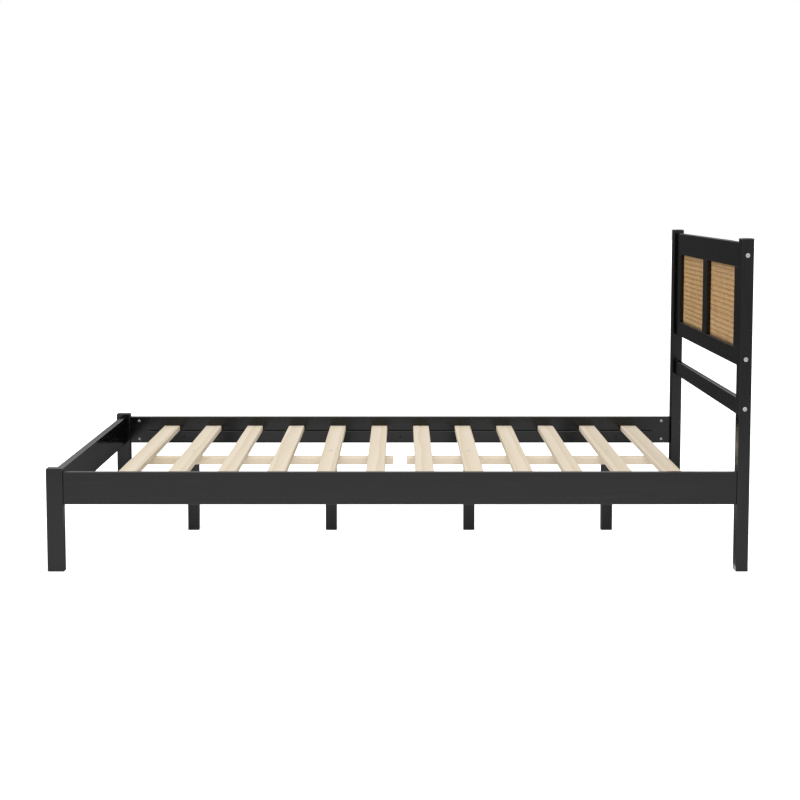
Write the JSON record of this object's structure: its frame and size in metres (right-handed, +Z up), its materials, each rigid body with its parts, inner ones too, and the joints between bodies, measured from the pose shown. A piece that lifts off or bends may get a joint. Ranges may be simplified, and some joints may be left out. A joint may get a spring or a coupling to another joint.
{
  "type": "platform bed",
  "caption": "Low wooden platform bed on square legs, with a slatted deck, a centre beam and an open headboard that frames woven cane panels.",
  "frame": {"origin": "on the floor, under the middle of the bed's length and width", "axes": "+Z up, +Y from the foot towards the headboard, +X towards the right-hand side rail as seen from the foot"},
  "size_m": [1.435, 2.03, 0.962],
  "materials": {
    "black_painted_pine": "satin black paint",
    "pale_pine": "planed and bare",
    "natural_cane": "woven rattan strands",
    "zinc_steel": "zinc plated"
  },
  "bodies": {
    "root": {"cane_beads_left": "black_painted_pine", "cane_beads_right": "black_painted_pine", "cane_panel_left": "natural_cane", "cane_panel_right": "natural_cane", "centre_beam_foot": "pale_pine", "centre_beam_head": "pale_pine", "centre_leg_1": "black_painted_pine", "centre_leg_2": "black_painted_pine", "centre_leg_3": "black_painted_pine", "centre_leg_4": "black_painted_pine", "centre_leg_screws": "zinc_steel", "foot_leg_bolts": "zinc_steel", "foot_leg_left": "black_painted_pine", "foot_leg_right": "black_painted_pine", "foot_rail": "black_painted_pine", "head_post_bolts": "zinc_steel", "head_post_left": "black_painted_pine", "head_post_right": "black_painted_pine", "headboard_bolts": "zinc_steel", "headboard_cross_rail": "black_painted_pine", "headboard_mullion": "black_painted_pine", "headboard_panel_rail": "black_painted_pine", "headboard_stile_left": "black_painted_pine", "headboard_stile_right": "black_painted_pine", "headboard_top_rail": "black_painted_pine", "side_rail_barrel_nuts": "zinc_steel", "side_rail_left": "black_painted_pine", "side_rail_right": "black_painted_pine", "slat_01": "pale_pine", "slat_02": "pale_pine", "slat_03": "pale_pine", "slat_04": "pale_pine", "slat_05": "pale_pine", "slat_06": "pale_pine", "slat_07": "pale_pine", "slat_08": "pale_pine", "slat_09": "pale_pine", "slat_10": "pale_pine", "slat_11": "pale_pine", "slat_12": "pale_pine", "slat_ledger_left": "black_painted_pine", "slat_ledger_right": "black_painted_pine"}
  },
  "joints": []
}
